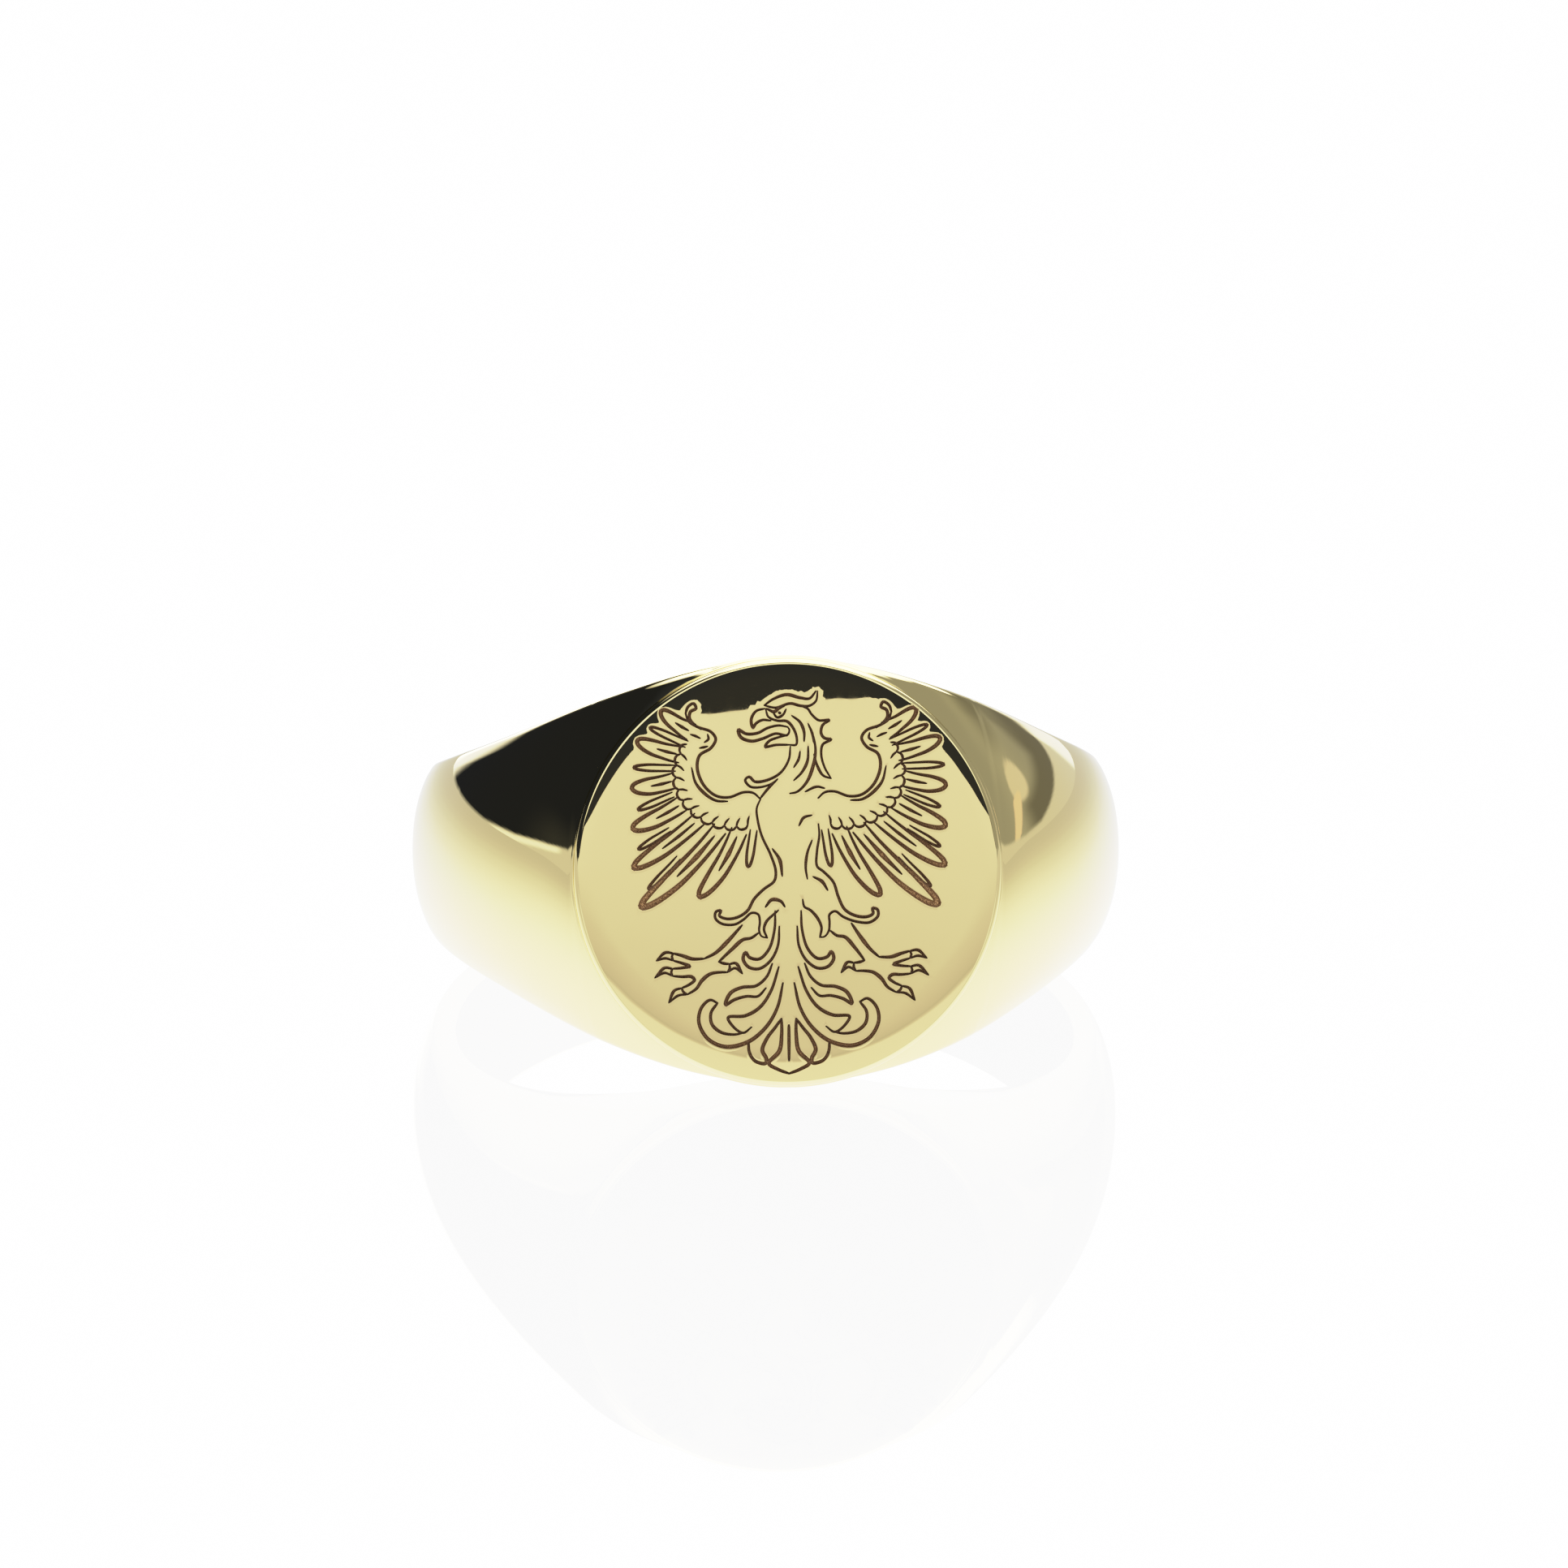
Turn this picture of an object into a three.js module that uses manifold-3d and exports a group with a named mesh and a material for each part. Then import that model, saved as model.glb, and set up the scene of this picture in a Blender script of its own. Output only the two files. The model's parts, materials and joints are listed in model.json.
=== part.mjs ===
// Round-headed signet ring, built as a goldsmith builds one: a forged D-section shank filed flat at
// the top, and a thin round table plate hard-soldered on to that flat. Millimetres, +Z up.
// Each piece is drawn in the ring's own frame (finger bore along z, table facing -y, x to the right).
// The whole assembly is then leaned back until the head's lower edge and the back of the shank both
// touch the ground, which is how a signet ring lies when it is put down on its side.
import * as THREE from "three";
import { mergeVertices } from "three/addons/utils/BufferGeometryUtils.js";
import Module from "manifold-3d";

// ---------- driving dimensions ----------
const BORE_R = 9.5; // finger bore radius
const TABLE_R = 6.5; // radius of the round table plate
const TABLE_Y = 12.0; // bore axis to the engraved face
const PLATE_T = 0.45; // thickness of the table plate
const PLATE_EDGE = 0.15; // softened edge round the face
const SOLDER_T = 0.04; // thickness of the solder layer
const SOLDER_R = 6.42; // the solder stops just short of the plate's wall
const GAP = 0.01; // joint line between touching solids
const SEAT_Y = TABLE_Y - PLATE_T - SOLDER_T - 2 * GAP; // flat filed on the shank for the plate
const STEP = 0.05; // the shoulders meet the seat's edge this far below it
const SEAT_R = TABLE_R - 0.004; // radius of the raised seat

// Stations round the shank: angle from the table's centre in degrees, outside radius at mid-width
// (from about 30 degrees back; nearer the table the shoulders are held to the seat's edge), drop of the
// D-section from mid-width to its edge, half-width at the outer edge, half-width at the bore.
const STATIONS = [
  [0, 11.5, 0.1, 6.6, 6.15],
  [8, 11.66, 0.18, 6.44, 6.0],
  [16, 12.3, 0.55, 6.08, 5.64],
  [24, 13.04, 1.2, 5.57, 5.16],
  [30, 13.13, 1.56, 5.2, 4.84],
  [36, 12.88, 1.68, 4.84, 4.53],
  [44, 12.42, 1.62, 4.38, 4.12],
  [54, 11.86, 1.42, 3.89, 3.68],
  [66, 11.33, 1.12, 3.43, 3.25],
  [78, 11.03, 0.89, 3.06, 2.9],
  [90, 10.92, 0.76, 2.8, 2.66],
  [120, 10.86, 0.64, 2.44, 2.32],
  [150, 10.84, 0.56, 2.24, 2.12],
  [180, 10.82, 0.52, 2.16, 2.04],
];
const DOME_POWER = 2.15;
const ROUND_OUTER = 0.34; // rounding of the edge between the dome and the side
const ROUND_BORE = 0.24; // rounding of the edge between the side and the bore
const STEPS_ROUND = 108; // sections round the hoop
const STEPS_DOME = 18;

// ---------- helpers ----------
const wasm = await Module();
wasm.setup();

function solid(geometry) {
  const g = geometry.index ? geometry.toNonIndexed() : geometry.clone();
  for (const key of Object.keys(g.attributes)) if (key !== "position") g.deleteAttribute(key);
  const m = mergeVertices(g, 1e-5);
  return new wasm.Manifold(
    new wasm.Mesh({
      numProp: 3,
      vertProperties: new Float32Array(m.attributes.position.array),
      triVerts: new Uint32Array(m.index.array),
    }),
  );
}

function geometryOf(manifold) {
  const m = manifold.getMesh();
  const v = new Float32Array(m.numVert * 3);
  for (let i = 0; i < m.numVert; i++)
    v.set(m.vertProperties.subarray(i * m.numProp, i * m.numProp + 3), i * 3);
  const g = new THREE.BufferGeometry();
  g.setAttribute("position", new THREE.BufferAttribute(v, 3));
  g.setIndex(new THREE.BufferAttribute(new Uint32Array(m.triVerts), 1));
  g.computeVertexNormals();
  return g;
}

// Smooth, even, periodic curve through the stations (monotone cubic), column c at an angle in degrees.
function station(angle, c) {
  const a = Math.abs(((((angle + 180) % 360) + 360) % 360) - 180);
  const n = STATIONS.length;
  const at = (i) => {
    if (i < 0) return [-STATIONS[-i][0], STATIONS[-i][c]];
    if (i >= n) return [360 - STATIONS[2 * n - 2 - i][0], STATIONS[2 * n - 2 - i][c]];
    return [STATIONS[i][0], STATIONS[i][c]];
  };
  let i = 0;
  while (i < n - 2 && a > STATIONS[i + 1][0]) i++;
  const slope = (k) => {
    const [x0, y0] = at(k - 1), [x1, y1] = at(k), [x2, y2] = at(k + 1);
    const d0 = (y1 - y0) / (x1 - x0), d1 = (y2 - y1) / (x2 - x1);
    if (d0 * d1 <= 0) return 0;
    return (d0 * (x2 - x1) + d1 * (x1 - x0)) / (x2 - x0);
  };
  const [x0, y0] = at(i), [x1, y1] = at(i + 1);
  const h = x1 - x0, t = (a - x0) / h, m0 = slope(i) * h, m1 = slope(i + 1) * h;
  return (
    y0 * (2 * t ** 3 - 3 * t ** 2 + 1) + m0 * (t ** 3 - 2 * t ** 2 + t) +
    y1 * (-2 * t ** 3 + 3 * t ** 2) + m1 * (t ** 3 - t ** 2)
  );
}

// The corner at b between a and c, rounded by a short quadratic curve, as n + 1 points.
function corner(a, b, c, size, n) {
  const u = a.clone().sub(b), w = c.clone().sub(b);
  const p = b.clone().add(u.clone().setLength(Math.min(size, u.length() * 0.45)));
  const q = b.clone().add(w.clone().setLength(Math.min(size, w.length() * 0.45)));
  return Array.from({ length: n + 1 }, (_, k) => {
    const t = k / n;
    return p.clone().multiplyScalar((1 - t) ** 2)
      .add(b.clone().multiplyScalar(2 * t * (1 - t)))
      .add(q.clone().multiplyScalar(t * t));
  });
}

// Outside radius at mid-width. Up to the seat's edge it is set so that the dome crosses the seat's
// circle exactly STEP below the seat, which keeps the step round the table even.
function outside(angle) {
  const a = Math.abs(((((angle + 180) % 360) + 360) % 360) - 180), r = (a * Math.PI) / 180;
  const x = (SEAT_Y - STEP) * Math.tan(r);
  if (a > 60 || x > SEAT_R) return station(angle, 1);
  const z = Math.sqrt(SEAT_R ** 2 - x ** 2);
  return (SEAT_Y - STEP) / Math.cos(r) + station(angle, 2) * (z / station(angle, 3)) ** DOME_POWER;
}

// The D-section at one angle as (radius, z) points, counter-clockwise: dome outside, bore inside.
function section(angle) {
  const R = outside(angle), drop = station(angle, 2), H = station(angle, 3), hi = station(angle, 4);
  const dome = (v) => new THREE.Vector2(R - drop * Math.abs(v) ** DOME_POWER, H * v);
  const edge = dome(1), inner = new THREE.Vector2(BORE_R, hi);
  const outer = corner(dome(0.8), edge, inner, ROUND_OUTER, 3);
  const lip = corner(edge, inner, new THREE.Vector2(BORE_R, 0), ROUND_BORE, 2);
  const top = [...outer, ...lip];
  const V = 1 - ROUND_OUTER / H;
  const pts = [];
  for (let k = 1; k < STEPS_DOME; k++) pts.push(dome(-V + (2 * V * k) / STEPS_DOME));
  pts.push(...top);
  pts.push(new THREE.Vector2(BORE_R, hi * 0.35), new THREE.Vector2(BORE_R, -hi * 0.35));
  for (let k = top.length - 1; k >= 0; k--) pts.push(new THREE.Vector2(top[k].x, -top[k].y));
  return pts;
}

function hoop() {
  const rings = [];
  for (let i = 0; i < STEPS_ROUND; i++) {
    const angle = (360 * i) / STEPS_ROUND, r = (angle * Math.PI) / 180;
    rings.push(section(angle).map((p) => [p.x * Math.sin(r), -p.x * Math.cos(r), p.y]));
  }
  const n = rings[0].length, index = [];
  for (let i = 0; i < STEPS_ROUND; i++)
    for (let k = 0; k < n; k++) {
      const a = i * n + k, b = i * n + ((k + 1) % n);
      const c = ((i + 1) % STEPS_ROUND) * n + k, d = ((i + 1) % STEPS_ROUND) * n + ((k + 1) % n);
      index.push(a, c, b, b, c, d);
    }
  const g = new THREE.BufferGeometry();
  g.setAttribute("position", new THREE.BufferAttribute(new Float32Array(rings.flat(2)), 3));
  g.setIndex(index);
  return g;
}

// A disc facing -y, from y = -near to y = -far, with an optional softened edge on the far face and
// an optional smaller radius at the near one.
function disc(radius, near, far, soft, around, nearRadius = radius) {
  const profile = [new THREE.Vector2(0, near), new THREE.Vector2(nearRadius, near)];
  if (soft) {
    const n = 5;
    for (let k = 0; k <= n; k++) {
      const t = (k / n) * (Math.PI / 2);
      profile.push(new THREE.Vector2(radius - soft * (1 - Math.cos(t)), far - soft * (1 - Math.sin(t))));
    }
  } else profile.push(new THREE.Vector2(radius, far));
  profile.push(new THREE.Vector2(0, far));
  const g = new THREE.LatheGeometry(profile, around);
  g.rotateX(Math.PI); // the lathe's +y becomes -y
  return g;
}

// ---------- shank ----------
const boss = solid(disc(SEAT_R, SEAT_Y - 0.6, SEAT_Y, 0, 96, SEAT_R - 0.4));
const shave = solid(disc(20, SEAT_Y, SEAT_Y + 6, 0, 48));
const shankSolid = solid(hoop()).add(boss).subtract(shave);

// ---------- table plate and solder ----------
const plateSolid = solid(disc(TABLE_R, TABLE_Y - PLATE_T, TABLE_Y, PLATE_EDGE, 96));
const solderSolid = solid(disc(SOLDER_R, SEAT_Y + GAP, SEAT_Y + GAP + SOLDER_T, 0, 96));

const gold = { color: 0xe2cd8c, roughness: 0.06, metalness: 1 };
const mesh = (name, s, material) => {
  const m = new THREE.Mesh(geometryOf(s), new THREE.MeshStandardMaterial(material));
  m.name = name;
  return m;
};
const pieces = [
  mesh("shank", shankSolid, gold),
  mesh("solder_seam", solderSolid, { color: 0x9c8a5a, roughness: 0.35, metalness: 1 }),
  mesh("signet_plate", plateSolid, gold),
];

// ---------- lay the ring down ----------
const assembly = new THREE.Group();
assembly.add(...pieces);

function lowest(tilt, front) {
  let low = Infinity;
  for (const m of pieces) {
    const p = m.geometry.attributes.position;
    for (let i = 0; i < p.count; i++)
      if (p.getY(i) < 0 === front)
        low = Math.min(low, p.getZ(i) * Math.cos(tilt) - p.getY(i) * Math.sin(tilt));
  }
  return low;
}
let lo = 0, hi = 0.6;
for (let k = 0; k < 60; k++) {
  const mid = (lo + hi) / 2;
  if (lowest(mid, true) < lowest(mid, false)) lo = mid;
  else hi = mid;
}
const TILT = lo;
assembly.rotation.x = -TILT;
const box = new THREE.Box3();
assembly.updateMatrixWorld(true);
for (const m of pieces) box.union(new THREE.Box3().setFromObject(m, true));
assembly.position.set(-(box.min.x + box.max.x) / 2, -(box.min.y + box.max.y) / 2, -box.min.z);

const ring = new THREE.Group();
ring.add(assembly);
export default ring;
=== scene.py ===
import json
import math

import bpy
import numpy as np
from mathutils import Matrix, Vector
from mathutils.geometry import delaunay_2d_cdt


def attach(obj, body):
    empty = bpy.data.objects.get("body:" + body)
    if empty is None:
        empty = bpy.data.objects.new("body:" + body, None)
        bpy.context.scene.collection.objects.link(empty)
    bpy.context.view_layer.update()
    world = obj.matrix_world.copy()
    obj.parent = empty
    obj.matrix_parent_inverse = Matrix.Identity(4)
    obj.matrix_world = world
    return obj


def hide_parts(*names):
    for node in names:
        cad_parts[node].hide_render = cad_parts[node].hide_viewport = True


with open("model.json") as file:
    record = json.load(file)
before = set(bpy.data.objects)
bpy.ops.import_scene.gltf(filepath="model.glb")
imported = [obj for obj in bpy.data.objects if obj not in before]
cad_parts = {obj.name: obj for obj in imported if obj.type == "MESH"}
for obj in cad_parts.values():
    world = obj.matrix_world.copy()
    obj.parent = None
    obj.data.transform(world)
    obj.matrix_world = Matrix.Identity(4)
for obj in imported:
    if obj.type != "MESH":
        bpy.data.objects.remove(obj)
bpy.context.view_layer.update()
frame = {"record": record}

# ------------------------------------------------------------------ dimensions, millimetres
BORE_R = 9.5
TABLE_R = 6.5
TABLE_Y = 12.0
PLATE_T = 0.45
PLATE_EDGE = 0.15
SOLDER_T = 0.04
GAP = 0.01
SEAT_Y = TABLE_Y - PLATE_T - SOLDER_T - 2 * GAP
STEP = 0.05
SEAT_R = TABLE_R - 0.004
ROUND_OUTER = 0.34
ROUND_BORE = 0.24
STATIONS = np.array([
    [0, 11.5, 0.1, 6.6, 6.15],
    [8, 11.66, 0.18, 6.44, 6.0],
    [16, 12.3, 0.55, 6.08, 5.64],
    [24, 13.04, 1.2, 5.57, 5.16],
    [30, 13.13, 1.56, 5.2, 4.84],
    [36, 12.88, 1.68, 4.84, 4.53],
    [44, 12.42, 1.62, 4.38, 4.12],
    [54, 11.86, 1.42, 3.89, 3.68],
    [66, 11.33, 1.12, 3.43, 3.25],
    [78, 11.03, 0.89, 3.06, 2.9],
    [90, 10.92, 0.76, 2.8, 2.66],
    [120, 10.86, 0.64, 2.44, 2.32],
    [150, 10.84, 0.56, 2.24, 2.12],
    [180, 10.82, 0.52, 2.16, 2.04]])

# where the CAD frame puts the ring's own axes: read off the record's mount on the table
_mount = frame["record"]["mounts"][0]
_n = Vector(_mount["axis"])
TILT = math.atan2(_n.z, -_n.y)
_face = Vector(_mount["pos_m"]) * 1000
OFFSET = Vector((0, _face.y + TABLE_Y * math.cos(TILT), _face.z - TABLE_Y * math.sin(TILT)))
TO_ROW = (Matrix.Scale(0.001, 4) @ Matrix.Translation(OFFSET) @ Matrix.Rotation(-TILT, 4, "X"))


# ------------------------------------------------------------------ helpers
def spline(xs, ys, x):
    """Smooth (C2) curve with flat ends through the points."""
    n, h = len(xs), np.diff(xs)
    A, b = np.zeros((n, n)), np.zeros(n)
    A[0, 0], A[0, 1], b[0] = 2 * h[0], h[0], 6 * (ys[1] - ys[0]) / h[0]
    A[-1, -1], A[-1, -2], b[-1] = 2 * h[-1], h[-1], -6 * (ys[-1] - ys[-2]) / h[-1]
    for i in range(1, n - 1):
        A[i, i - 1], A[i, i], A[i, i + 1] = h[i - 1], 2 * (h[i - 1] + h[i]), h[i]
        b[i] = 6 * ((ys[i + 1] - ys[i]) / h[i] - (ys[i] - ys[i - 1]) / h[i - 1])
    m = np.linalg.solve(A, b)
    k = np.clip(np.searchsorted(xs, x, "right") - 1, 0, n - 2)
    a, c = (xs[k + 1] - x) / h[k], (x - xs[k]) / h[k]
    return a * ys[k] + c * ys[k + 1] + ((a**3 - a) * m[k] + (c**3 - c) * m[k + 1]) * h[k] ** 2 / 6


def station(angle, c):
    a = abs((angle + 180) % 360 - 180)
    return float(spline(STATIONS[:, 0], STATIONS[:, c], np.array([a]))[0])


def dome_shape(v):
    return 0.72 * v * v + 0.28 * v**4


def outside(angle):
    a = abs((angle + 180) % 360 - 180)
    r = math.radians(a)
    x = (SEAT_Y - STEP) * math.tan(r) if a < 60 else 1e9
    if x > SEAT_R:
        return station(angle, 1)
    z = math.sqrt(SEAT_R**2 - x * x)
    return (SEAT_Y - STEP) / math.cos(r) + station(angle, 2) * dome_shape(z / station(angle, 3))


def corner(a, b, c, size, n):
    a, b, c = (np.array(q, float) for q in (a, b, c))
    u, w = a - b, c - b
    lu, lw = np.linalg.norm(u), np.linalg.norm(w)
    p, q = b + u / lu * min(size, lu * 0.45), b + w / lw * min(size, lw * 0.45)
    t = np.linspace(0, 1, n + 1)[:, None]
    return (1 - t) ** 2 * p + 2 * t * (1 - t) * b + t * t * q


def mesh_object(name, verts, faces, smooth=True):
    me = bpy.data.meshes.new(name)
    me.from_pydata([tuple(TO_ROW @ Vector(v)) for v in verts], [], faces)
    me.update()
    if smooth:
        me.polygons.foreach_set("use_smooth", [True] * len(me.polygons))
    ob = bpy.data.objects.new(name, me)
    bpy.context.scene.collection.objects.link(ob)
    return ob


def lathe_about_table(profile, around):
    """Closed solid of (radius, y) points, the first and last on the axis; y is the height along -y'."""
    verts, faces, rows = [], [], []
    for r, h in profile:
        if r < 1e-6:
            rows.append([len(verts)])
            verts.append((0, -h, 0))
        else:
            rows.append(list(range(len(verts), len(verts) + around)))
            for k in range(around):
                t = 2 * math.pi * k / around
                verts.append((r * math.cos(t), -h, r * math.sin(t)))
    for p, q in zip(rows, rows[1:]):
        for k in range(around):
            k2 = (k + 1) % around
            if len(p) == 1:
                faces.append((p[0], q[k2], q[k]))
            elif len(q) == 1:
                faces.append((p[k], p[k2], q[0]))
            else:
                faces.append((p[k], p[k2], q[k2], q[k]))
    return verts, faces


# ------------------------------------------------------------------ materials
def new_material(name):
    m = bpy.data.materials.new(name)
    m.use_nodes = True
    t = m.node_tree
    t.nodes.clear()
    out = t.nodes.new("ShaderNodeOutputMaterial")
    bsdf = t.nodes.new("ShaderNodeBsdfPrincipled")
    t.links.new(bsdf.outputs["BSDF"], out.inputs["Surface"])
    return m, t, bsdf


def node(t, kind, **values):
    n = t.nodes.new(kind)
    for k, v in values.items():
        if k in n.inputs:
            n.inputs[k].default_value = v
        else:
            setattr(n, k, v)
    return n


def gold(name, scratch=0.00012, face_normal=False):
    """Mirror-polished pale yellow gold with the faint hairlines that a buffing wheel leaves."""
    m, t, b = new_material(name)
    b.inputs["Metallic"].default_value = 1.0
    co = node(t, "ShaderNodeTexCoord")
    big = node(t, "ShaderNodeTexNoise", Scale=260.0, Detail=3.0)
    t.links.new(co.outputs["Object"], big.inputs["Vector"])
    tint = node(t, "ShaderNodeMix", data_type="RGBA")
    tint.inputs["A"].default_value = (0.838, 0.703, 0.350, 1) if face_normal else (0.818, 0.706, 0.356, 1)
    tint.inputs["B"].default_value = (0.818, 0.681, 0.328, 1) if face_normal else (0.798, 0.684, 0.334, 1)
    t.links.new(big.outputs["Fac"], tint.inputs["Factor"])
    t.links.new(tint.outputs["Result"], b.inputs["Base Color"])
    # hairlines: noise stretched along the direction of polishing
    mp = node(t, "ShaderNodeMapping")
    mp.inputs["Scale"].default_value = (5200.0, 5200.0, 420.0)
    mp.inputs["Rotation"].default_value = (0.5, 0.9, 0.7)
    t.links.new(co.outputs["Object"], mp.inputs["Vector"])
    hair = node(t, "ShaderNodeTexNoise", Scale=1.0, Detail=2.0)
    t.links.new(mp.outputs["Vector"], hair.inputs["Vector"])
    rough = node(t, "ShaderNodeMapRange")
    for k, v in (("From Min", 0.35), ("From Max", 0.75), ("To Min", 0.004), ("To Max", 0.009 if face_normal else 0.024)):
        rough.inputs[k].default_value = v
    t.links.new(hair.outputs["Fac"], rough.inputs["Value"])
    t.links.new(rough.outputs["Result"], b.inputs["Roughness"])
    bump = node(t, "ShaderNodeBump", Strength=0.012 if not face_normal else 0.004, Distance=scratch * 0.01)
    t.links.new(hair.outputs["Fac"], bump.inputs["Height"])
    if face_normal:
        at = node(t, "ShaderNodeAttribute", attribute_name="polish")
        t.links.new(at.outputs["Vector"], bump.inputs["Normal"])
    t.links.new(bump.outputs["Normal"], b.inputs["Normal"])
    return m


# ------------------------------------------------------------------ shank
def build_shank():
    angles = np.concatenate([np.arange(0, 60, 0.5), np.arange(60, 300, 1.5), np.arange(300, 360, 0.5)])
    rings = []
    dome_steps, outer_steps, lip_steps = 44, 7, 6
    for ang in angles:
        R, drop, H, hi = outside(ang), station(ang, 2), station(ang, 3), station(ang, 4)
        dome = lambda v: (R - drop * dome_shape(v), H * v)
        edge, inner = dome(1.0), (BORE_R, hi)
        top = list(corner(dome(0.8), edge, inner, ROUND_OUTER, outer_steps))
        top += list(corner(edge, inner, (BORE_R, 0), ROUND_BORE, lip_steps))
        V = 1 - ROUND_OUTER / H
        pts = [dome(-V + 2 * V * k / dome_steps) for k in range(1, dome_steps)]
        pts += [tuple(p) for p in top]
        pts += [(BORE_R, hi * f) for f in (0.6, 0.2, -0.2, -0.6)]
        pts += [(p[0], -p[1]) for p in reversed(top)]
        r = math.radians(ang)
        ring = []
        for p in pts:
            x, y, z = p[0] * math.sin(r), -p[0] * math.cos(r), p[1]
            if -y > SEAT_Y - 0.02 and x * x + z * z < (SEAT_R + 0.3) ** 2:
                y = -(SEAT_Y - 0.02)  # the dome is filed away under the seat
            ring.append((x, y, z))
        rings.append(ring)
    n, m = len(rings[0]), len(rings)
    verts = [v for r in rings for v in r]
    faces = []
    for i in range(m):
        for k in range(n):
            a, b = i * n + k, i * n + (k + 1) % n
            c, d = ((i + 1) % m) * n + k, ((i + 1) % m) * n + (k + 1) % n
            faces.append((a, c, d, b))
    # the seat that the plate is soldered to, with the small fillet of solder at its foot
    foot = SEAT_Y - STEP
    prof = [(0, foot - 0.5), (SEAT_R - 0.35, foot - 0.5), (SEAT_R + 0.09, foot - 0.055)]
    prof += [(SEAT_R + 0.09 - 0.09 * math.sin(t), foot + 0.045 - 0.1 * math.cos(t) + 0.0)
             for t in np.linspace(0.0, math.pi / 2, 7)[1:]]
    prof += [(SEAT_R, SEAT_Y), (0, SEAT_Y)]
    v2, f2 = lathe_about_table(prof, 256)
    base = len(verts)
    verts += v2
    faces += [tuple(base + i for i in f) for f in f2]
    return mesh_object("shank_polished", verts, faces)


# ------------------------------------------------------------------ the engraved charge
# A heraldic eagle displayed, head to dexter, drawn with a graver's strokes. Chart units: 40.6 to the
# millimetre, x to the right and y down from the centre of the table. Each stroke is a smooth line
# through its points with a width (chart units) at its start, middle and end.
def S(points, w=(2.6, 4.0, 2.6)):
    return (points, w)


def feather(base0, base1, tip, belly, w=(2.4, 5.6, 2.6), curl=0.0, rib=0.0, ribw=(2.2, 4.2, 2.2)):
    """A flight feather as one stroke: out along one edge, round the tip, back along the other."""
    b0, b1, t = np.array(base0, float), np.array(base1, float), np.array(tip, float)
    root = (b0 + b1) / 2
    d = t - root
    L = np.hypot(*d)
    d /= L
    nrm = np.array([-d[1], d[0]])
    if np.dot(b0 - root, nrm) < 0:
        nrm = -nrm
    def axis(s):
        return root + d * L * s + nrm * curl * L * s * s * 0.5 - nrm * curl * L * s * 0.25
    half0 = np.hypot(*(b0 - b1)) / 2
    def half(s):
        if s < 0.6:
            k = s / 0.6
            return half0 + (belly - half0) * (3 * k * k - 2 * k**3)
        k = (s - 0.6) / 0.4
        return belly * (1 - 0.28 * k) * math.sqrt(max(0.0, 1 - k**3.2))
    ss = [0, 0.2, 0.4, 0.6, 0.75, 0.87, 0.955]
    pts = [tuple(axis(s) + nrm * half(s)) for s in ss] + [tuple(axis(1.0))]
    pts += [tuple(axis(s) - nrm * half(s)) for s in reversed(ss)]
    out = [S(pts, w)]
    if rib:
        out.append(S([tuple(axis(s)) for s in (0.08, 0.08 + rib * 0.5, 0.08 + rib)], ribw))
    return out


def mirror(strokes, dx=0.0):
    return [([(dx - x, y) for x, y in p], w) for p, w in strokes]


def scallops(points, bulge, tick, w=(2.6, 3.6, 2.6)):
    """Rounded covert tips along a line: an arc from point to point and a short tick inward at each."""
    out = []
    P = [np.array(p, float) for p in points]
    for a, b in zip(P, P[1:]):
        d = b - a
        nrm = np.array([d[1], -d[0]]) / max(np.hypot(*d), 1e-6)
        out.append(S([tuple(a), tuple(a + d * 0.22 - nrm * bulge * 0.8), tuple((a + b) / 2 - nrm * bulge), tuple(a + d * 0.8 - nrm * bulge * 0.75), tuple(b)], w))
        out.append(S([tuple(b), tuple(b + nrm * tick * 0.5 + d * 0.05), tuple(b + nrm * tick + d * 0.22)], (2.6, 3.0, 2.2)))
    return out


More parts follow.
